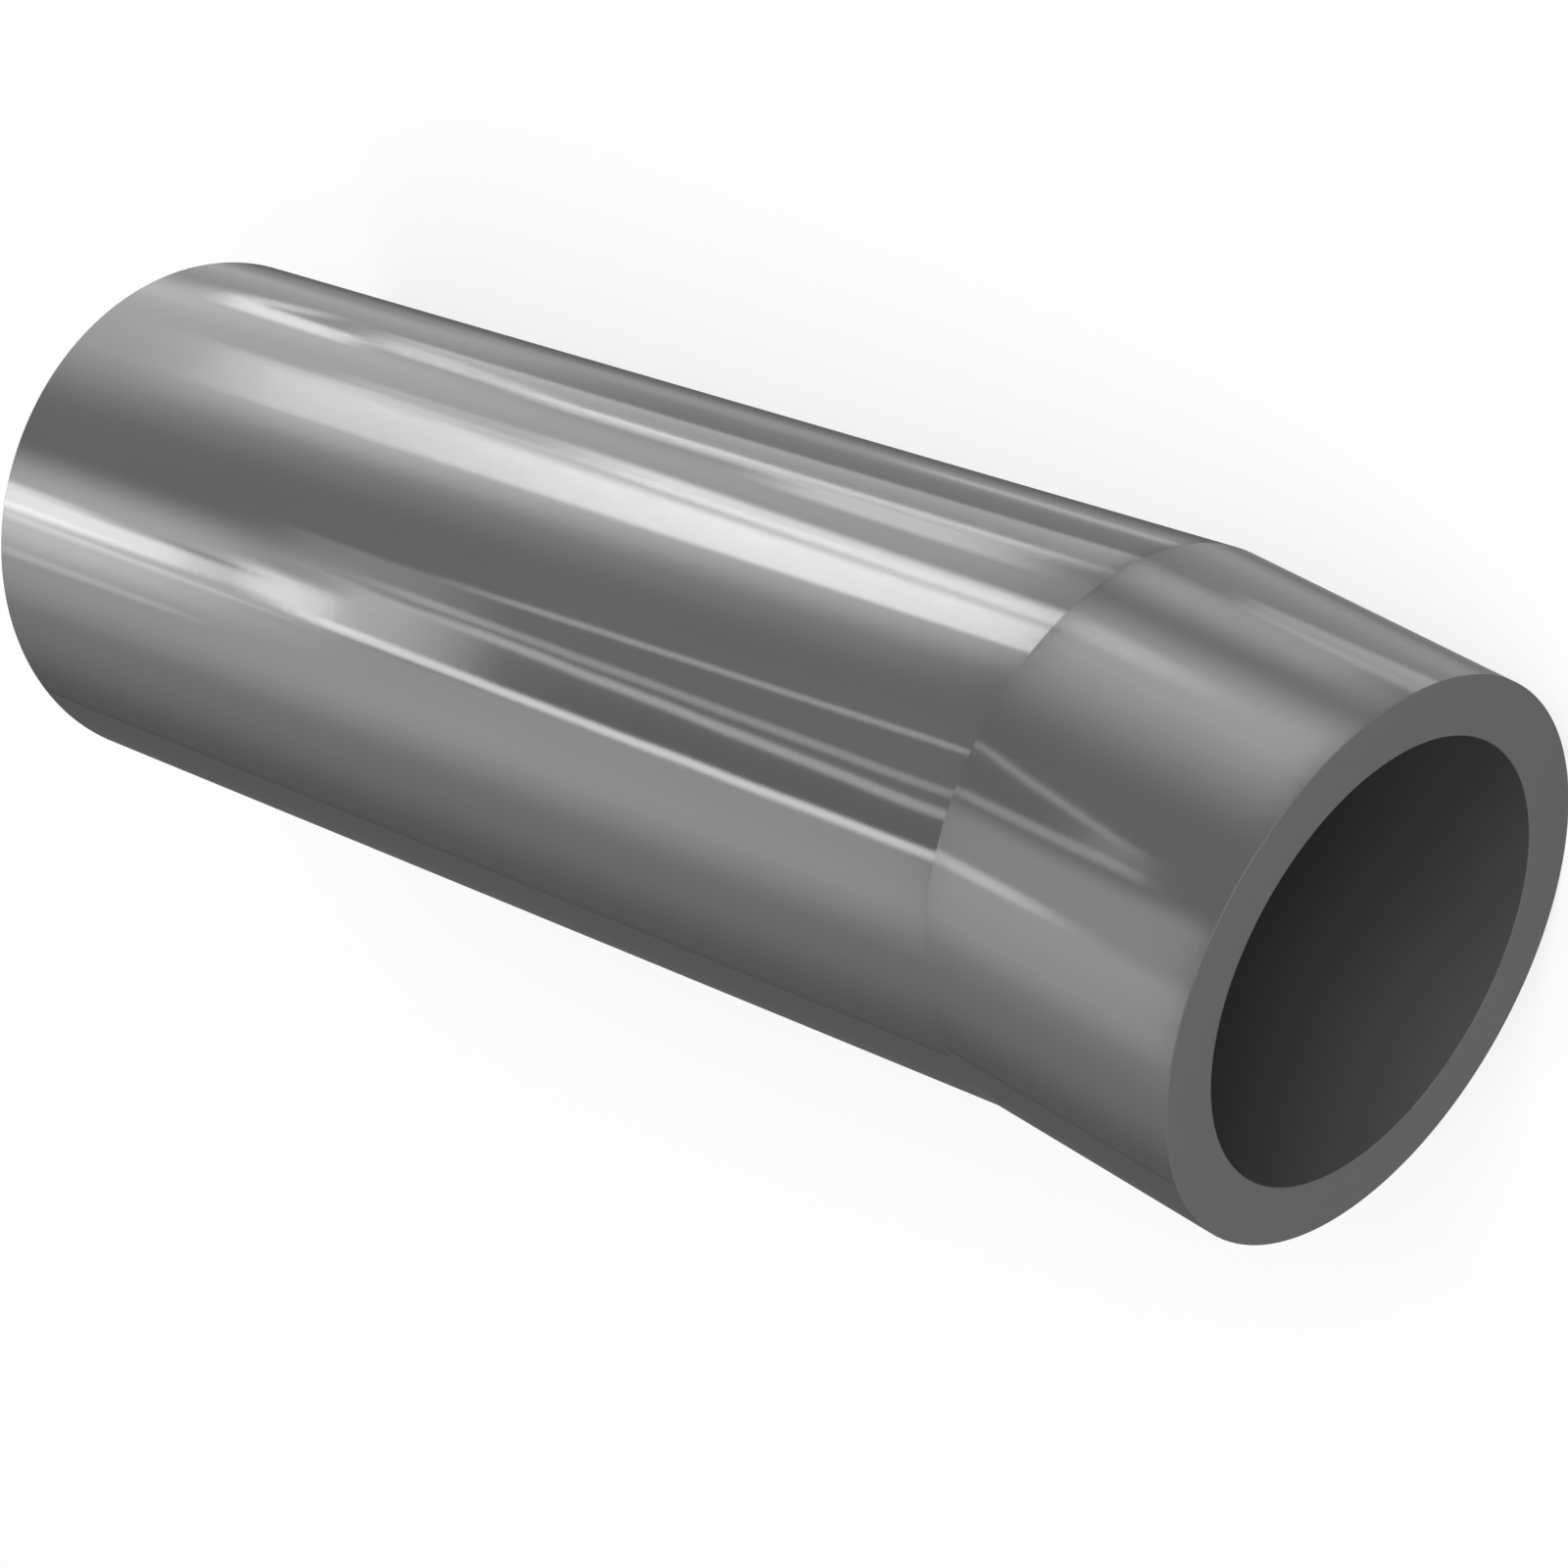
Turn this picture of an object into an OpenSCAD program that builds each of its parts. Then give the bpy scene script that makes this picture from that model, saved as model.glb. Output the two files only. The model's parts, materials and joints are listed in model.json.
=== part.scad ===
// Silicone turbo hose: one moulded tube with a slight bend close to one end.
// The outside folds over at a crisp mitre line, and the bore is rounded inside the bend.
// The hose lies on its side on a flat surface, with its bend in the horizontal plane.
// The origin is the centre of the long leg's end face. +X runs along the long leg,
// +Z is up, and the short leg turns away from +X towards -Y.

/* [Tube] */
// Inside diameter, the size of the spigots that the hose fits
bore_d = 38; // [19:0.5:76]
// Thickness of the reinforced wall
wall = 5; // [3:0.1:8]

/* [Legs] */
// Length of the long leg on its axis, from the end face to the middle of the bend
long_leg = 119; // [60:1:400]
// Length of the short leg on its axis, from the middle of the bend to the end face
short_leg = 24.5; // [20:0.5:150]

/* [Bend] */
// Angle by which the short leg turns away from the long leg
bend_angle = 10; // [5:0.5:30]
// How far the ball that rounds the inside of the bend reaches past the corner of the two bores
ball_margin = 0.15; // [0.1:0.05:0.5]

/* [Hidden] */
$fn = 128;
// Radii of the inner and the outer surface
bore_r = bore_d / 2;
outer_r = bore_r + wall;
// Angle between each leg and the mitre plane's normal
half_bend = bend_angle / 2;
// Radius of the ball that rounds the inside of the bend: it takes in the whole corner
// where the two bores meet, and so each bore's straight wall ends in a true circle
ball_r = bore_r / cos(half_bend) + ball_margin;
// How far each leg's bar reaches past the middle of the bend before the mitre trims it
mitre_reach = outer_r * tan(half_bend) + wall;
// How far each bore runs out past its end face, so that the end is open
run_out = wall;
// Edge of the block that trims a leg at the mitre, larger than the hose
block = 2 * (long_leg + short_leg + outer_r);

// The legs are made about the middle of the bend, where the mitre plane is x = 0.
// There the short leg points to +X, turned by half the bend, and the long leg
// is made the same way and mirrored.

// Round bar on a leg's axis, from a distance before the middle of the bend to one after it
module leg_bar(r, before, after) {
  rotate([0, 0, -half_bend])
    translate([-before, 0, 0])
      rotate([0, 90, 0])
        cylinder(h = before + after, r = r);
}

// Outside of one leg, trimmed at the mitre plane
module leg(length) {
  intersection() {
    leg_bar(outer_r, mitre_reach, length);
    translate([block / 2, 0, 0])
      cube(block, center = true);
  }
}

// Outside of the whole hose
module body() {
  leg(short_leg);
  mirror([1, 0, 0])
    leg(long_leg);
}

// Inside of the whole hose: a straight bore from each end, with a ball where they meet.
// The ball's poles point along the hose, so its wall is one even band.
module bore() {
  leg_bar(bore_r, 0, short_leg + run_out);
  mirror([1, 0, 0])
    leg_bar(bore_r, 0, long_leg + run_out);
  rotate([0, 90, 0])
    sphere(r = ball_r);
}

module hose() {
  color([0.42, 0.42, 0.42])
    translate([long_leg, 0, 0])
      rotate([0, 0, -half_bend])
        difference() {
          body();
          bore();
        }
}

hose();
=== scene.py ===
"""A silicone turbo hose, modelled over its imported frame, on a white floor under soft studio light.

The frame gives the hose's two ends, its bore and its outside. Everything else follows from them.
"""

import json
import math
from collections import namedtuple

import bmesh
import bpy
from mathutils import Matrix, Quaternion, Vector
from mathutils.geometry import intersect_line_line


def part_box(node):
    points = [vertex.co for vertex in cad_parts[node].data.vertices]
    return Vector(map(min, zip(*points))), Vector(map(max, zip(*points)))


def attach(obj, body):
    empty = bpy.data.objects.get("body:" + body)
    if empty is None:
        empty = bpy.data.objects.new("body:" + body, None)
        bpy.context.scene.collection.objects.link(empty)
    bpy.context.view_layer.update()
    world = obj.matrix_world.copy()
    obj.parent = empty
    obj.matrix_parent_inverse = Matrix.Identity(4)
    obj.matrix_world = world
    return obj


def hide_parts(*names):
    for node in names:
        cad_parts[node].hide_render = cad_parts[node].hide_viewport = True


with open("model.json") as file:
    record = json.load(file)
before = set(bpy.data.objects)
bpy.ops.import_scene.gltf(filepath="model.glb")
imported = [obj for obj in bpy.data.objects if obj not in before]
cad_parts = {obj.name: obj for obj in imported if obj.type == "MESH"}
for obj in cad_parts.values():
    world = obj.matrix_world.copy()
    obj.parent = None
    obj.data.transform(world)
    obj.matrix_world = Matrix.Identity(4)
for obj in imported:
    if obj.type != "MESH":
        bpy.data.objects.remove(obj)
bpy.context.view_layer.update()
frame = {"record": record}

bl_info = {
    "name": "Silicone Turbo Hose",
    "version": (1, 0, 0),
    "blender": (4, 5, 0),
    "location": "3D View > Sidebar > Turbo Hose",
    "description": "Models a moulded silicone hose with a slight bend, and lights it in a small studio",
    "category": "Add Mesh",
}

# The hose's own directions and lengths, read from the frame
mounts = {mount["name"]: mount for mount in frame["record"]["mounts"]}
long_end = Vector(mounts["long_end_bore"]["pos_m"])
short_end = Vector(mounts["short_end_bore"]["pos_m"])
up = Vector((0, 0, 1))
along_long = -Vector(mounts["long_end_bore"]["axis"])
along_short = Vector(mounts["short_end_bore"]["axis"])
bend = intersect_line_line(long_end, long_end + along_long, short_end, short_end - along_short)[0]
mitre_normal = (along_long + along_short).normalized()
long_leg = (bend - long_end).length
short_leg = (short_end - bend).length
bore_radius = mounts["long_end_bore"]["dims"]["r_mm"] / 1000

# The outside stays a hair inside the frame's box
HAIR = 0.000005
lowest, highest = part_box("hose")
outer_radius = (highest.z - lowest.z) / 2 - HAIR

# Points this near to a plane or a rim are on it, and points this near to each other are one
TOUCH = 0.00001
WELD = 0.000001
# Unit of the surface's fine marks
MICRON = 0.000001


class HoseShape(bpy.types.PropertyGroup):
    """Sizes of the modelled hose that its frame doesn't give."""

    sides: bpy.props.IntProperty(
        name="Sides",
        description="Number of flats round the tube",
        default=192,
        min=32,
        max=384,
    )
    ring_gap: bpy.props.FloatProperty(
        name="Ring gap",
        description="Distance between the rings of edges along each leg",
        default=0.008,
        min=0.002,
        subtype="DISTANCE",
        unit="LENGTH",
    )
    end_round: bpy.props.FloatProperty(
        name="End rounding",
        description="How far the edges of both cut ends are rounded",
        default=0.0001,
        min=0.00005,
        max=0.001,
        subtype="DISTANCE",
        unit="LENGTH",
    )
    bore_round: bpy.props.FloatProperty(
        name="Bore rounding",
        description="How far the bore is rounded on each side of the mitre",
        default=0.0029,
        min=0.0005,
        max=0.006,
        subtype="DISTANCE",
        unit="LENGTH",
    )


class HoseFinish(bpy.types.PropertyGroup):
    """Colours and gloss of the silicone."""

    skin_colour: bpy.props.FloatVectorProperty(
        name="Skin",
        description="Colour of the moulded outside",
        default=(0.125, 0.125, 0.125),
        min=0,
        max=1,
        subtype="COLOR",
    )
    cut_colour: bpy.props.FloatVectorProperty(
        name="Cut face",
        description="Colour of the silicone where the ends are cut",
        default=(0.145, 0.145, 0.145),
        min=0,
        max=1,
        subtype="COLOR",
    )
    # The bore's colour is set darker than the skin's: painted shade for the dim inside of the tube
    bore_shaded_colour: bpy.props.FloatVectorProperty(
        name="Bore",
        description="Colour of the darker inside",
        default=(0.1, 0.1, 0.1),
        min=0,
        max=1,
        subtype="COLOR",
    )
    skin_roughness: bpy.props.FloatProperty(
        name="Skin roughness",
        description="Roughness of the glossy outside",
        default=0.06,
        min=0,
        max=1,
        subtype="FACTOR",
    )


class HoseStudio(bpy.types.PropertyGroup):
    """The camera, the floor and the light."""

    camera_place: bpy.props.FloatVectorProperty(
        name="Camera",
        description="Where the camera stands",
        default=(0.352113, 0.180618, 0.238824),
        subtype="TRANSLATION",
        unit="LENGTH",
    )
    camera_heading: bpy.props.FloatProperty(
        name="Heading",
        description="Direction that the camera looks in, from +X towards +Y",
        default=math.radians(-145.553),
        subtype="ANGLE",
        unit="ROTATION",
    )
    camera_pitch: bpy.props.FloatProperty(
        name="Pitch",
        description="How far the camera looks up, or down if below zero",
        default=math.radians(-35.698),
        subtype="ANGLE",
        unit="ROTATION",
    )
    camera_roll: bpy.props.FloatProperty(
        name="Roll",
        description="How far the camera is turned about its own line of sight",
        default=math.radians(119.615),
        subtype="ANGLE",
        unit="ROTATION",
    )
    camera_lens: bpy.props.FloatProperty(
        name="Lens",
        description="Focal length in millimetres on a 36 mm sensor",
        default=109.65,
        min=20,
        max=300,
        subtype="NONE",
    )
    floor_colour: bpy.props.FloatVectorProperty(
        name="Floor",
        description="Colour of the floor",
        default=(0.38, 0.38, 0.38),
        min=0,
        max=1,
        subtype="COLOR",
    )
    floor_lift: bpy.props.FloatProperty(
        name="Floor lift",
        description="Light added to the floor in view, so that it is white with a soft shadow",
        default=0.75,
        min=0,
        max=1,
        subtype="FACTOR",
    )
    floor_gloss: bpy.props.FloatProperty(
        name="Floor in gloss",
        description="How bright the floor looks where the hose mirrors it",
        default=0.2,
        min=0,
        max=1,
        subtype="FACTOR",
    )
    room_fill: bpy.props.FloatProperty(
        name="Room fill",
        description="Level of the light that comes from all round",
        default=0.45,
        min=0,
        max=1,
        subtype="FACTOR",
    )
    room_gloss: bpy.props.FloatProperty(
        name="Room in gloss",
        description="How bright the room looks where the hose mirrors it",
        default=0.1,
        min=0,
        max=1,
        subtype="FACTOR",
    )
    side_power: bpy.props.FloatProperty(
        name="Side lamp",
        description="Power of the large soft lamp beside the hose",
        default=3.2,
        min=0,
        subtype="POWER",
        unit="POWER",
    )
    end_power: bpy.props.FloatProperty(
        name="End lamp",
        description="Power of the large soft lamp in front of the open end",
        default=2.25,
        min=0,
        subtype="POWER",
        unit="POWER",
    )


def start_clean():
    """Leave edit mode and deselect everything."""
    if bpy.context.object and bpy.context.object.mode != "OBJECT":
        bpy.ops.object.mode_set(mode="OBJECT")
    bpy.ops.object.select_all(action="DESELECT")


def pick_edges(thing, wanted):
    """In edit mode, select the edges whose two ends both pass the test, and nothing else."""
    bpy.ops.mesh.select_mode(type="EDGE")
    bpy.ops.mesh.select_all(action="DESELECT")
    mesh = bmesh.from_edit_mesh(thing.data)
    for edge in mesh.edges:
        edge.select_set(all(wanted(corner.co) for corner in edge.verts))
    bmesh.update_edit_mesh(thing.data)
    if not thing.data.total_edge_sel:
        raise RuntimeError(f"no edge of {thing.name} is where it was looked for")


def pick_faces(thing, wanted):
    """In edit mode, select the faces that pass the test, and nothing else."""
    bpy.ops.mesh.select_mode(type="FACE")
    bpy.ops.mesh.select_all(action="DESELECT")
    mesh = bmesh.from_edit_mesh(thing.data)
    for face in mesh.faces:
        face.select_set(wanted(face))
    bmesh.update_edit_mesh(thing.data)
    if not thing.data.total_face_sel:
        raise RuntimeError(f"no face of {thing.name} is where it was looked for")


def on_plane(place, normal):
    """A test of whether a point lies on a plane."""
    return lambda point: abs((point - place).dot(normal)) < TOUCH


def on_rim(place, normal, radius):
    """A test of whether a point lies on the rim of that radius at an end."""
    on_end = on_plane(place, normal)
    return lambda point: on_end(point) and abs((point - place).length - radius) < TOUCH


def add_ring(place, normal):
    """In edit mode, cut a ring of edges round everything that the plane passes through."""
    bpy.ops.mesh.select_all(action="SELECT")
    bpy.ops.mesh.bisect(plane_co=place, plane_no=normal)


def distance_from_axis(point):
    """How far a point is from the axis of the leg that it is on."""
    on_long = (point - bend).dot(mitre_normal) < 0
    start, direction = (long_end, along_long) if on_long else (bend, along_short)
    return (point - start).cross(direction).length


def bent_skin(name, radius, shape):
    """One round skin along both legs, drawn out of a circle and mitred at the bend."""
    start_clean()
    bpy.ops.mesh.primitive_circle_add(
        vertices=shape.sides,
        radius=radius,
        location=long_end,
        rotation=along_long.to_track_quat("Z", "Y").to_euler(),
    )
    skin = bpy.context.object
    skin.name = name
    bpy.ops.object.transform_apply(location=True, rotation=True, scale=True)
    bpy.ops.object.mode_set(mode="EDIT")
    bpy.ops.mesh.select_all(action="SELECT")

    # Each leg is drawn out past its end and then cut off, the long one at the mitre
    spare = 2 * radius
    for direction, length, cut_place, cut_normal in (
        (along_long, long_leg, bend, mitre_normal),
        (along_short, short_leg, short_end, along_short),
    ):
        bpy.ops.mesh.extrude_edges_move(
            TRANSFORM_OT_translate={"value": direction * (length + spare)}
        )
        bpy.ops.mesh.select_all(action="SELECT")
        bpy.ops.mesh.bisect(plane_co=cut_place, plane_no=cut_normal, clear_outer=True)

    # Rings of edges along both legs, from each end to well short of the mitre
    clear_of_mitre = radius / 3
    for start, direction, length in (
        (long_end, along_long, long_leg),
        (short_end, -along_short, short_leg),
    ):
        count = max(1, round((length - clear_of_mitre) / shape.ring_gap))
        for index in range(1, count):
            add_ring(start + direction * (index * shape.ring_gap), direction)
    bpy.ops.object.mode_set(mode="OBJECT")
    return skin


def fold_sharply(skin):
    """Keep the fold at the mitre crisp, as it is on the outside."""
    bpy.ops.object.mode_set(mode="EDIT")
    pick_edges(skin, on_plane(bend, mitre_normal))
    bpy.ops.mesh.mark_sharp()
    bpy.ops.object.mode_set(mode="OBJECT")


def round_bend(skin, rounding):
    """Round the fold at the mitre, as it is in the bore."""
    bpy.ops.object.mode_set(mode="EDIT")
    pick_edges(skin, on_plane(bend, mitre_normal))
    bpy.ops.mesh.bevel(offset=rounding, segments=8, affect="EDGES")

    # Rings close to the bend keep the smooth shading from spreading along the legs
    ring_shift = 4 * rounding
    for shift in (-ring_shift, ring_shift):
        add_ring(bend + mitre_normal * shift, mitre_normal)
    bpy.ops.object.mode_set(mode="OBJECT")


def mould_hose(shape, finish):
    """The whole hose: two skins joined at both ends, with their edges rounded."""
    hose = bent_skin("moulded_hose", outer_radius, shape)
    fold_sharply(hose)
    bore = bent_skin("bore_skin", bore_radius, shape)
    round_bend(bore, shape.bore_round)
    start_clean()
    hose.select_set(True)
    bore.select_set(True)
    bpy.context.view_layer.objects.active = hose
    bpy.ops.object.join()

    # The outer rim is drawn in over each cut face to the bore's rim
    bpy.ops.object.mode_set(mode="EDIT")
    ends = ((long_end, -along_long), (short_end, along_short))
    shrink = bore_radius / outer_radius
    for place, out in ends:
        pick_edges(hose, on_rim(place, out, outer_radius))
        bpy.ops.mesh.extrude_edges_move()
        bpy.ops.transform.resize(value=(shrink, shrink, shrink), center_override=place)
    bpy.ops.mesh.select_all(action="SELECT")
    bpy.ops.mesh.remove_doubles(threshold=WELD)
    bpy.ops.mesh.normals_make_consistent(inside=False)
    for place, out in ends:
        for radius in (outer_radius, bore_radius):
            pick_edges(hose, on_rim(place, out, radius))
            bpy.ops.mesh.bevel(offset=shape.end_round, segments=3, affect="EDGES")
    bpy.ops.object.mode_set(mode="OBJECT")

    # Smooth all over, with the broad faces setting the shading, so the cut faces stay flat
    bpy.ops.object.shade_smooth_by_angle(angle=math.radians(40))
    weighted = hose.modifiers.new("even_shading", "WEIGHTED_NORMAL")
    weighted.keep_sharp = True
    bpy.ops.object.modifier_apply(modifier=weighted.name)

    store_distance(hose)
    dress_hose(hose, finish)
    return hose


def store_distance(hose):
    """Keep each point's distance from its leg's axis on the mesh.

    The marks that run round the cut faces follow it.
    """
    distances = hose.data.attributes.new("from_axis", "FLOAT", "POINT")
    for point, entry in zip(hose.data.vertices, distances.data):
        entry.value = distance_from_axis(point.co)


def dress_hose(hose, finish):
    """Give the outside, the bore and the two cut faces their finishes."""
    for material in (skin_material(finish), bore_material(finish), cut_material(finish)):
        hose.data.materials.append(material)
    middle = (outer_radius + bore_radius) / 2
    # A face this much turned towards an end's open side is cut, and so are its rounded edges
    turned = 0.2

    def is_bore(face):
        return distance_from_axis(face.calc_center_median()) < middle

    def is_cut(face):
        faces_long_end = face.normal.dot(-along_long) > turned
        faces_short_end = face.normal.dot(along_short) > turned
        return faces_long_end or faces_short_end

    bpy.ops.object.mode_set(mode="EDIT")
    for slot, wanted in ((1, is_bore), (2, is_cut)):
        pick_faces(hose, wanted)
        hose.active_material_index = slot
        bpy.ops.object.material_slot_assign()
    bpy.ops.object.mode_set(mode="OBJECT")


class Nodes:
    """Adds and links a material's or a world's nodes."""

    def __init__(self, tree):
        self.tree = tree

    def add(self, kind, label="", **settings):
        """A new node of that kind, with its label and settings."""
        node = self.tree.nodes.new(kind)
        node.label = label
        for name, value in settings.items():
            setattr(node, name, value)
        return node

    def link(self, source, target):
        """Lead an output to an input."""
        self.tree.links.new(source, target)

    def noise(self, coordinates, scale, detail, label):
        """Even noise from 0 to 1, its scale in cycles a metre."""
        noise = self.add("ShaderNodeTexNoise", label)
        noise.inputs["Scale"].default_value = scale
        noise.inputs["Detail"].default_value = detail
        self.link(coordinates, noise.inputs["Vector"])
        return noise.outputs["Fac"]

    def between(self, value, low, high, label):
        """The value 0 to 1 spread from low to high."""
        spread = self.add("ShaderNodeMapRange", label)
        spread.inputs["To Min"].default_value = low
        spread.inputs["To Max"].default_value = high
        self.link(value, spread.inputs["Value"])
        return spread.outputs["Result"]

    def tint(self, value, colour, change, label):
        """The colour made a little darker and lighter by a value from 0 to 1."""
        mix = self.add("ShaderNodeMix", label, data_type="RGBA")
        mix.inputs["A"].default_value = (*[channel * (1 - change) for channel in colour], 1)
        mix.inputs["B"].default_value = (*[channel * (1 + change) for channel in colour], 1)
        self.link(value, mix.inputs["Factor"])
        return mix.outputs["Result"]

    def bump(self, height, depth, label, under=None):
        """A bump whose height from 0 to 1 is that deep, in metres."""
        bump = self.add("ShaderNodeBump", label)
        bump.inputs["Distance"].default_value = depth
        self.link(height, bump.inputs["Height"])
        if under is not None:
            self.link(under, bump.inputs["Normal"])
        return bump.outputs["Normal"]


def silicone(name):
    """A new material, with its nodes, its shader and the piece's own coordinates."""
    material = bpy.data.materials.new(name)
    material.use_nodes = True
    nodes = Nodes(material.node_tree)
    shader = material.node_tree.nodes["Principled BSDF"]
    place = nodes.add("ShaderNodeTexCoord", "Place on the hose").outputs["Object"]
    return material, nodes, shader, place


def skin_material(finish):
    """Glossy moulded silicone, with a faint ripple from the mould."""
    material, nodes, shader, place = silicone("moulded_skin")
    cloudy = nodes.noise(place, scale=45, detail=3, label="Cloudiness")
    colour = nodes.tint(cloudy, finish.skin_colour, change=0.05, label="Skin colour")
    nodes.link(colour, shader.inputs["Base Color"])
    uneven = 0.01
    dullest = finish.skin_roughness + uneven
    glossiest = finish.skin_roughness - uneven
    gloss = nodes.between(cloudy, low=glossiest, high=dullest, label="Gloss")
    nodes.link(gloss, shader.inputs["Roughness"])
    waves = nodes.noise(place, scale=70, detail=1, label="Ripple")
    ripple = nodes.bump(waves, depth=20 * MICRON, label="Mould ripple")
    dimples = nodes.noise(place, scale=1400, detail=2, label="Peel")
    peel = nodes.bump(dimples, depth=MICRON, label="Fine peel", under=ripple)
    nodes.link(peel, shader.inputs["Normal"])
    return material


def bore_material(finish):
    """Duller silicone inside, its colour set darker than the skin's as painted shade for the dim bore.
    """
    material, nodes, shader, place = silicone("bore_with_painted_shade")
    cloudy = nodes.noise(place, scale=60, detail=3, label="Cloudiness")
    # The darker base colour here is painted shade inside the bore; the cloudy change in tone is random
    colour = nodes.tint(cloudy, finish.bore_shaded_colour, change=0.08, label="Bore colour")
    nodes.link(colour, shader.inputs["Base Color"])
    dull = nodes.between(cloudy, low=0.5, high=0.62, label="Bore roughness")
    nodes.link(dull, shader.inputs["Roughness"])
    grain = nodes.noise(place, scale=1800, detail=2, label="Grain")
    rough = nodes.bump(grain, depth=8 * MICRON, label="Bore grain")
    nodes.link(rough, shader.inputs["Normal"])
    return material


def cut_material(finish):
    """Matte silicone where a blade cut the ends, with fine marks that run round."""
    material, nodes, shader, place = silicone("cut_face")
    grain = nodes.noise(place, scale=2600, detail=3, label="Grain")
    colour = nodes.tint(grain, finish.cut_colour, change=0.06, label="Cut colour")
    nodes.link(colour, shader.inputs["Base Color"])
    matte = nodes.between(grain, low=0.62, high=0.78, label="Cut roughness")
    nodes.link(matte, shader.inputs["Roughness"])
    kept = nodes.add("ShaderNodeAttribute", "Distance from the axis", attribute_name="from_axis")
    marks = nodes.add("ShaderNodeTexNoise", "Blade marks", noise_dimensions="1D")
    marks.inputs["Scale"].default_value = 9000
    nodes.link(kept.outputs["Fac"], marks.inputs["W"])
    rings = nodes.bump(marks.outputs["Fac"], depth=6 * MICRON, label="Blade marks")
    rough = nodes.bump(grain, depth=10 * MICRON, label="Cut grain", under=rings)
    nodes.link(rough, shader.inputs["Normal"])
    return material


# One pale card or strip of light that the camera sees mirrored in the hose's gloss, given by
# where it shows on the hose:
# - leg: the leg that it shows on. One that runs past the long leg's end shows on both.
# - along: where it starts and ends, in millimetres from the leg's start
# - start_angles, end_angles: the two angles between which it shows there, in degrees round
#   the leg, upwards from the side that faces +Y
# - light: how much it adds to the hose's level, of which white has 1
# - hides: the share that it hides of what is behind it
# - fades: the shares of it that fade out, at its start, its end, its low and its high side
Card = namedtuple("Card", "name leg along start_angles end_angles light hides fades")

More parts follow.
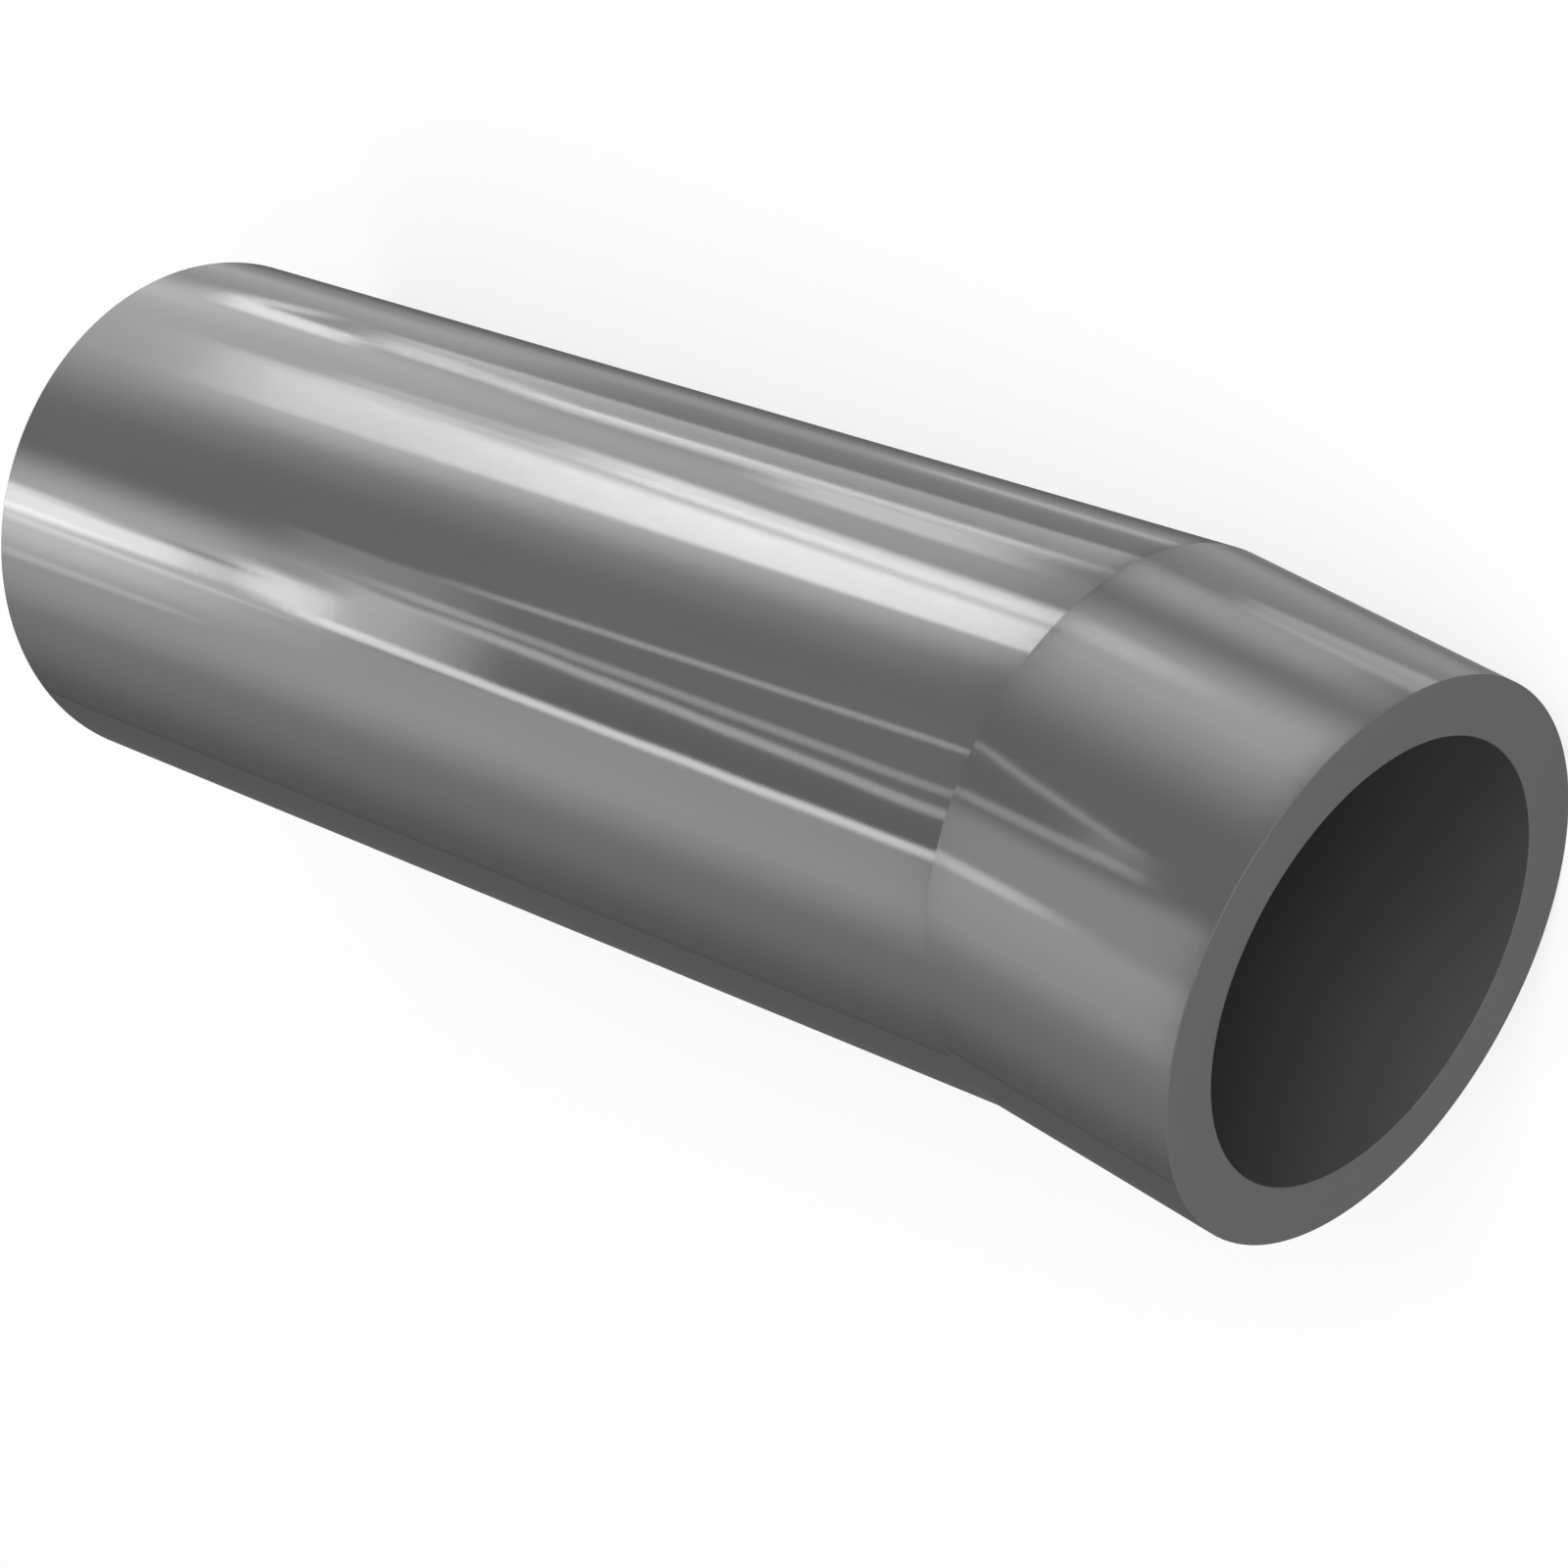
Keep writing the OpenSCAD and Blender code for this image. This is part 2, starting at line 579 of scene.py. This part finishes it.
MIRRORED = (
    Card("top_flag", "long", (-8, 190), (108, 150), (108, 150), 0, 0.56, (0, 0, 0.25, 0)),
    Card("low_flag", "long", (-8, 121), (-40, -18), (-40, -18), 0, 0.45, (0, 0, 0, 0.4)),
    Card("ceiling_glow", "long", (-8, 121), (67.4, 91), (69.4, 91), 0.18, 0, (0, 0, 0.03, 0.7)),
    Card("ceiling_low", "long", (30, 121.4), (69, 86), (69.6, 85), 0.01, 0, (0.4, 0, 0.05, 0.35)),
    Card("ceiling_edge", "long", (-8, 190), (88, 126), (88, 126), 0.01, 0, (0, 0, 0.4, 0.4)),
    Card("ceiling_tail", "long", (-8, 190), (74, 110), (74, 110), 0.08, 0, (0, 0, 0.35, 0.7)),
    Card("left_ceiling", "long", (-8, 56), (65, 78.5), (66, 76), 0.20, 0, (0, 0.7, 0.1, 0.6)),
    Card("left_line", "long", (-8, 34), (75.2, 78.2), (75.2, 77), 0.10, 0, (0, 0.3, 0.4, 0.4)),
    Card("left_band", "long", (-8, 42), (60.2, 68.4), (62.2, 67), 0.67, 0, (0, 0.4, 0.35, 0.3)),
    Card("left_seam", "long", (-8, 58), (66.2, 70.2), (66, 69.4), 0.17, 0, (0, 0.3, 0.4, 0.4)),
    Card("left_skirt", "long", (-8, 60), (51, 63), (51, 62), 0.23, 0, (0, 0.5, 0.85, 0.1)),
    Card("left_spot", "long", (32, 49), (58.4, 67.2), (60.2, 68.8), 0.64, 0, (0.45, 0.35, 0.35, 0.3)),
    Card("slot_upper", "long", (40, 121.4), (65.6, 68.4), (67.6, 70.4), 0.50, 0, (0.1, 0, 0.4, 0.4)),
    Card("spot_wake", "long", (42, 72), (56, 67), (58, 67.5), 0.26, 0, (0.3, 0.6, 0.15, 0.1)),
    Card("slot_middle", "long", (54, 121.4), (56.2, 58.8), (59.8, 62.8), 0.21, 0, (0.2, 0, 0.4, 0.4)),
    Card("slot_lower", "long", (46, 121.4), (54.4, 56.8), (56.0, 58.4), 0.14, 0, (0.2, 0, 0.4, 0.4)),
    Card("fan", "long", (36, 68), (49.5, 58.5), (50.5, 57), 0.08, 0, (0.3, 0.3, 0.15, 0.1)),
    Card("thin_line", "long", (56, 121.4), (49.9, 51.6), (48.0, 49.8), 0.17, 0, (0.2, 0, 0.4, 0.4)),
    Card("wall_glow", "long", (-8, 136), (-6, 46), (2, 45), 0.20, 0, (0, 0.2, 0.25, 0.4)),
    Card("middle_glow", "long", (-8, 121.4), (38, 66), (38, 66), 0.02, 0, (0, 0, 0.3, 0.3)),
    Card("left_wall", "long", (-20, 64), (10, 54), (6, 46), 0.02, 0, (0, 0.6, 0.3, 0.5)),
    Card("left_low", "long", (-20, 70), (-20, 9), (-16, 9), 0.10, 0, (0, 0.4, 0.25, 0.2)),
    Card("band_halo", "long", (6, 122), (14, 35), (17, 35), 0.15, 0, (0.25, 0, 0.1, 0.4)),
    Card("main_band", "long", (15, 122), (14.6, 27.8), (20.2, 28.1), 0.13, 0, (0.14, 0, 0.3, 0.12)),
    Card("main_band_end", "long", (30, 122), (15.4, 28.0), (20.2, 28.1), 0.30, 0, (0.7, 0, 0.3, 0.15)),
    Card("low_lobe", "long", (58, 122), (12, 17.6), (15.8, 21.8), 0.39, 0, (0.3, 0, 0.35, 0.35)),
    Card("left_lobe", "long", (28, 80), (12.4, 17.6), (13, 17), 0.10, 0, (0.2, 0.4, 0.3, 0.2)),
    Card("tip_streak", "long", (8, 30), (-2.6, 4), (-0.4, 5), 0.39, 0, (0.2, 0.1, 0.35, 0.3)),
    Card("tip_tail", "long", (9, 26), (-3.5, 2), (-7.8, -4), 0.37, 0, (0.15, 0.6, 0.4, 0.4)),
    Card("low_band", "long", (24, 121), (-5.4, 3), (-5.4, 5), 0.19, 0, (0.15, 0, 0.15, 0.2)),
    Card("low_line", "long", (46, 126), (0.8, 5), (1.8, 6.6), 0.29, 0, (0.2, 0.25, 0.3, 0.45)),
    Card("low_line_left", "long", (26, 62), (-4.4, 1.6), (0.4, 5.4), 0.12, 0, (0.25, 0.4, 0.35, 0.35)),
    Card("bulge", "long", (78, 121), (3.6, 8.8), (4.4, 11), 0.26, 0, (0.35, 0.4, 0.3, 0.35)),
    Card("low_glow", "long", (-8, 121), (-26, 2), (-26, 2), 0.09, 0, (0, 0, 0.45, 0.3)),
    Card("edge_band", "long", (20, 121), (-21, -12), (-20, -10.5), 0.05, 0, (0.25, 0, 0.4, 0.4)),
    Card("edge_line", "long", (84, 121), (-18, -14), (-17, -12.6), 0.12, 0, (0.4, 0, 0.4, 0.4)),
    Card("short_ceiling", "short", (-2.5, 26), (56, 91), (53, 91), 0.13, 0, (0, 0, 0.15, 0.6)),
    Card("short_ceiling_glow", "short", (-2.5, 26), (66, 86), (66, 86), 0.06, 0, (0, 0, 0.2, 0.4)),
    Card("short_line", "short", (-2.5, 16), (66.8, 70.6), (65.6, 69), 0.20, 0, (0, 0.6, 0.4, 0.4)),
    Card("short_upper", "short", (-2.5, 17), (55, 57.6), (52.4, 55.4), 0.14, 0, (0, 0.1, 0.4, 0.4)),
    Card("short_lower", "short", (-2.5, 16), (45.6, 47.6), (49.6, 52), 0.15, 0, (0, 0.1, 0.4, 0.4)),
    Card("short_arc", "short", (10, 18), (49.5, 55), (50.5, 55), 0.10, 0, (0.4, 0.5, 0.35, 0.35)),
    Card("short_wall", "short", (-2.5, 26), (8, 43), (6, 42), 0.21, 0, (0, 0, 0.35, 0.6)),
    Card("short_wall_low", "short", (-2.5, 26), (-4, 20), (-4, 20), 0.03, 0, (0, 0, 0.3, 0.4)),
    Card("short_tail", "short", (-2.5, 18), (14.6, 22), (14.4, 20), 0.10, 0, (0, 0.7, 0.4, 0.4)),
    Card("short_glow", "short", (-2.5, 26), (-30, 12), (-30, 12), 0.12, 0, (0, 0, 0.3, 0.3)),
    Card("short_low", "short", (-2.5, 26), (-6, 10), (-8, 6), 0.11, 0, (0, 0.35, 0.3, 0.6)),
    Card("short_patch", "short", (6.6, 30), (-9, -3.4), (-14, -3.4), 0.13, 0, (0.08, 0, 0.25, 0.25)),
)

# The cards hang this many metres away, so that from other sides few of them show. Those that
# hide what is behind them hang behind all that add light, or at this share of the way to the
# floor where they would be below it.
CARD_DISTANCE = 2.0
FLAG_DISTANCE = 2.1
ABOVE_FLOOR = 0.9
# A point whose normal has a smaller cosine than this to the camera's sight is seen edge on,
# and has no say in how bright its card is
EDGE_ON = 0.03

# Each lamp's direction from the hose, its distance, its width and height in metres, and
# whether it shows in the gloss
Lamp = namedtuple("Lamp", "name direction distance width height in_gloss")
SIDE_LAMP = Lamp("side_lamp", (0.4, 0.8, 0.6), 0.8, 0.7, 0.6, True)
END_LAMP = Lamp("end_lamp", (0.95, -0.17, 0.22), 0.8, 0.9, 0.36, False)


def outside_of(leg, along, angle):
    """The point on the hose's outside that far along a leg and that far round it, and its normal."""
    start, direction = (long_end, along_long) if leg == "long" else (bend, along_short)
    side = up.cross(direction)
    normal = side * math.cos(angle) + up * math.sin(angle)
    return start + direction * along + normal * outer_radius, normal


def reflectance(cosine, ior=1.5):
    """The share of light that a clear surface mirrors, by the cosine of its angle to the normal."""
    inside = math.sqrt(ior * ior - 1 + cosine * cosine)
    upright = (cosine - inside) / (cosine + inside)
    sine_squared = 1 - cosine * cosine
    flat = (cosine * inside - sine_squared) / (cosine * inside + sine_squared)
    return upright ** 2 * (1 + flat ** 2) / 2


def part_way(pair, share):
    """The number that lies at that share of the way between two."""
    first, last = pair
    return first + (last - first) * share


def card_material(name, light, hides, fades):
    """Light that adds to what is behind the card, or hides it, and fades towards its edges."""
    material = bpy.data.materials.new(name)
    material.use_nodes = True
    material.node_tree.nodes.clear()
    nodes = Nodes(material.node_tree)
    split = nodes.add("ShaderNodeSeparateXYZ", "Across the card")
    nodes.link(nodes.add("ShaderNodeTexCoord").outputs["UV"], split.inputs[0])
    from_start, from_end, from_low, from_high = fades
    share = None
    for axis, edge, inner in (
        ("X", 0, from_start),
        ("X", 1, 1 - from_end),
        ("Y", 0, from_low),
        ("Y", 1, 1 - from_high),
    ):
        if edge == inner:
            continue
        fade = nodes.add("ShaderNodeMapRange", "Fade", interpolation_type="SMOOTHSTEP")
        fade.inputs["From Min"].default_value = edge
        fade.inputs["From Max"].default_value = inner
        nodes.link(split.outputs[axis], fade.inputs["Value"])
        if share is None:
            share = fade.outputs["Result"]
        else:
            product = nodes.add("ShaderNodeMath", "Both fades", operation="MULTIPLY")
            nodes.link(share, product.inputs[0])
            nodes.link(fade.outputs["Result"], product.inputs[1])
            share = product.outputs[0]
    glow = nodes.add("ShaderNodeEmission", "Light")
    nodes.link(nodes.between(share, 0, light, "Light, faded"), glow.inputs["Strength"])
    clear = nodes.add("ShaderNodeBsdfTransparent", "What is behind")
    nodes.link(nodes.between(share, 1, 1 - hides, "What is left of it"), clear.inputs["Color"])
    both = nodes.add("ShaderNodeAddShader")
    nodes.link(glow.outputs[0], both.inputs[0])
    nodes.link(clear.outputs[0], both.inputs[1])
    nodes.link(both.outputs[0], nodes.add("ShaderNodeOutputMaterial").inputs["Surface"])
    return material


def hang_card(studio, card):
    """Hang one card where the camera sees it mirrored at its place on the hose."""
    start_clean()
    bpy.ops.mesh.primitive_grid_add(x_subdivisions=24, y_subdivisions=8, size=1)
    sheet = bpy.context.object
    sheet.name = "card_" + card.name
    camera = Vector(studio.camera_place)
    furthest = FLAG_DISTANCE if card.hides else CARD_DISTANCE
    cosines = []
    for corner in sheet.data.vertices:
        # The grid was added from -0.5 to 0.5 both ways
        along_share = corner.co.x + 0.5
        round_share = corner.co.y + 0.5
        low = part_way((card.start_angles[0], card.end_angles[0]), along_share)
        high = part_way((card.start_angles[1], card.end_angles[1]), along_share)
        angle = math.radians(part_way((low, high), round_share))
        place, normal = outside_of(card.leg, part_way(card.along, along_share) / 1000, angle)
        sight = (place - camera).normalized()
        mirrored = sight.reflect(normal)
        distance = furthest
        if card.hides and mirrored.z < 0:
            distance = min(furthest, ABOVE_FLOOR * (lowest.z - place.z) / mirrored.z)
        corner.co = place + mirrored * distance
        cosines.append(-sight.dot(normal))
    seen = [reflectance(cosine) for cosine in cosines if cosine > EDGE_ON]
    light = card.light / (sum(seen) / len(seen))
    sheet.data.materials.append(card_material(sheet.name, light, card.hides, card.fades))
    sheet.visible_camera = False
    sheet.visible_diffuse = False
    sheet.visible_transmission = False
    sheet.visible_shadow = False


def by_ray(nodes, in_view, in_gloss, as_fill):
    """One level in view and through clear things, one in gloss, and one as light on matte things."""
    path = nodes.add("ShaderNodeLightPath", "Kind of ray")
    seen = nodes.add("ShaderNodeMath", "In view", operation="MAXIMUM")
    nodes.link(path.outputs["Is Camera Ray"], seen.inputs[0])
    nodes.link(path.outputs["Is Transmission Ray"], seen.inputs[1])
    mirrored = nodes.add("ShaderNodeMix", "In gloss or as fill", data_type="FLOAT")
    mirrored.inputs["A"].default_value = as_fill
    mirrored.inputs["B"].default_value = in_gloss
    nodes.link(path.outputs["Is Glossy Ray"], mirrored.inputs["Factor"])
    level = nodes.add("ShaderNodeMix", "In view or not", data_type="FLOAT")
    nodes.link(mirrored.outputs["Result"], level.inputs["A"])
    level.inputs["B"].default_value = in_view
    nodes.link(seen.outputs[0], level.inputs["Factor"])
    return level.outputs["Result"]


def floor_material(studio):
    """White in view, with the hose's soft shadow on it.

    Gloss mirrors it at a level of its own, and it lets the cards below it through there.
    """
    material = bpy.data.materials.new("floor")
    material.use_nodes = True
    material.node_tree.nodes.clear()
    nodes = Nodes(material.node_tree)
    matte = nodes.add("ShaderNodeBsdfDiffuse", "Floor colour")
    matte.inputs["Color"].default_value = (*studio.floor_colour, 1)
    lift = nodes.add("ShaderNodeEmission", "Lift to white")
    nodes.link(by_ray(nodes, studio.floor_lift, studio.floor_gloss, 0), lift.inputs["Strength"])
    clear = nodes.add("ShaderNodeBsdfTransparent", "Cards below the floor")
    kind = nodes.add("ShaderNodeLightPath", "Kind of ray")
    ground = nodes.add("ShaderNodeMixShader", "Matte or let through")
    nodes.link(kind.outputs["Is Glossy Ray"], ground.inputs[0])
    nodes.link(matte.outputs[0], ground.inputs[1])
    nodes.link(clear.outputs[0], ground.inputs[2])
    both = nodes.add("ShaderNodeAddShader")
    nodes.link(ground.outputs[0], both.inputs[0])
    nodes.link(lift.outputs[0], both.inputs[1])
    nodes.link(both.outputs[0], nodes.add("ShaderNodeOutputMaterial").inputs["Surface"])
    return material


def lay_floor(studio):
    """A wide floor at the hose's lowest line."""
    start_clean()
    bpy.ops.mesh.primitive_plane_add(size=8, location=(bend.x, bend.y, lowest.z))
    floor = bpy.context.object
    floor.name = "floor"
    bpy.ops.object.transform_apply(location=True)
    floor.data.materials.append(floor_material(studio))


def fill_room(studio):
    """Even light from all round: white in view, and dimmer in the gloss and as fill."""
    world = bpy.data.worlds.new("room")
    bpy.context.scene.world = world
    world.use_nodes = True
    world.node_tree.nodes.clear()
    nodes = Nodes(world.node_tree)
    background = nodes.add("ShaderNodeBackground")
    background.inputs["Color"].default_value = (1, 1, 1, 1)
    nodes.link(by_ray(nodes, 1, studio.room_gloss, studio.room_fill), background.inputs["Strength"])
    nodes.link(background.outputs[0], nodes.add("ShaderNodeOutputWorld").inputs["Surface"])


def hang_lamp(lamp, power):
    """A large soft lamp that faces the hose."""
    data = bpy.data.lights.new(lamp.name, "AREA")
    data.shape = "RECTANGLE"
    data.size = lamp.width
    data.size_y = lamp.height
    data.energy = power
    holder = bpy.data.objects.new(lamp.name, data)
    bpy.context.scene.collection.objects.link(holder)
    away = Vector(lamp.direction).normalized()
    holder.location = (long_end + short_end) / 2 + away * lamp.distance
    holder.rotation_euler = away.to_track_quat("Z", "Y").to_euler()
    holder.visible_camera = False
    holder.visible_glossy = lamp.in_gloss


def stand_camera(studio):
    """The camera, at its place and turned about its line of sight."""
    data = bpy.data.cameras.new("camera")
    data.lens = studio.camera_lens
    data.sensor_width = 36
    camera = bpy.data.objects.new("camera", data)
    bpy.context.scene.collection.objects.link(camera)
    heading = studio.camera_heading
    pitch = studio.camera_pitch
    level = math.cos(pitch)
    look = Vector((math.cos(heading) * level, math.sin(heading) * level, math.sin(pitch)))
    roll = Quaternion((0, 0, 1), -studio.camera_roll)
    camera.location = studio.camera_place
    camera.rotation_euler = (look.to_track_quat("-Z", "Y") @ roll).to_euler()
    bpy.context.scene.camera = camera


class MESH_OT_mould_turbo_hose(bpy.types.Operator):
    """Model the bent hose and give it its finish"""

    bl_idname = "mesh.mould_turbo_hose"
    bl_label = "Mould Turbo Hose"
    bl_options = {"REGISTER", "UNDO"}

    def execute(self, context):
        hose = mould_hose(context.scene.hose_shape, context.scene.hose_finish)
        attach(hose, "root")
        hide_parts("hose")
        return {"FINISHED"}


class SCENE_OT_set_hose_studio(bpy.types.Operator):
    """Lay the floor, hang the lamps and the cards, and stand the camera"""

    bl_idname = "scene.set_hose_studio"
    bl_label = "Set Hose Studio"
    bl_options = {"REGISTER", "UNDO"}

    def execute(self, context):
        studio = context.scene.hose_studio
        context.scene.view_settings.view_transform = "Standard"
        lay_floor(studio)
        fill_room(studio)
        hang_lamp(SIDE_LAMP, studio.side_power)
        hang_lamp(END_LAMP, studio.end_power)
        for card in MIRRORED:
            hang_card(studio, card)
        stand_camera(studio)
        return {"FINISHED"}


class VIEW3D_PT_turbo_hose(bpy.types.Panel):
    """Sizes, finish and studio of the turbo hose"""

    bl_idname = "VIEW3D_PT_turbo_hose"
    bl_label = "Turbo Hose"
    bl_space_type = "VIEW_3D"
    bl_region_type = "UI"
    bl_category = "Turbo Hose"

    def draw(self, context):
        layout = self.layout
        layout.use_property_split = True
        for title, settings, operator in (
            ("Shape", context.scene.hose_shape, MESH_OT_mould_turbo_hose.bl_idname),
            ("Finish", context.scene.hose_finish, None),
            ("Studio", context.scene.hose_studio, SCENE_OT_set_hose_studio.bl_idname),
        ):
            box = layout.box()
            box.label(text=title)
            for name in settings.__annotations__:
                box.prop(settings, name)
            if operator:
                box.operator(operator)


GROUPS = {"hose_shape": HoseShape, "hose_finish": HoseFinish, "hose_studio": HoseStudio}
CLASSES = (
    *GROUPS.values(),
    MESH_OT_mould_turbo_hose,
    SCENE_OT_set_hose_studio,
    VIEW3D_PT_turbo_hose,
)


def register():
    """Add the settings, the operators and the panel to Blender."""
    for each in CLASSES:
        bpy.utils.register_class(each)
    for name, group in GROUPS.items():
        setattr(bpy.types.Scene, name, bpy.props.PointerProperty(type=group))


def unregister():
    """Take them out again."""
    for name in GROUPS:
        delattr(bpy.types.Scene, name)
    for each in reversed(CLASSES):
        bpy.utils.unregister_class(each)


def main():
    """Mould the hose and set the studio."""
    register()
    bpy.ops.mesh.mould_turbo_hose()
    bpy.ops.scene.set_hose_studio()


if __name__ == "__main__":
    main()
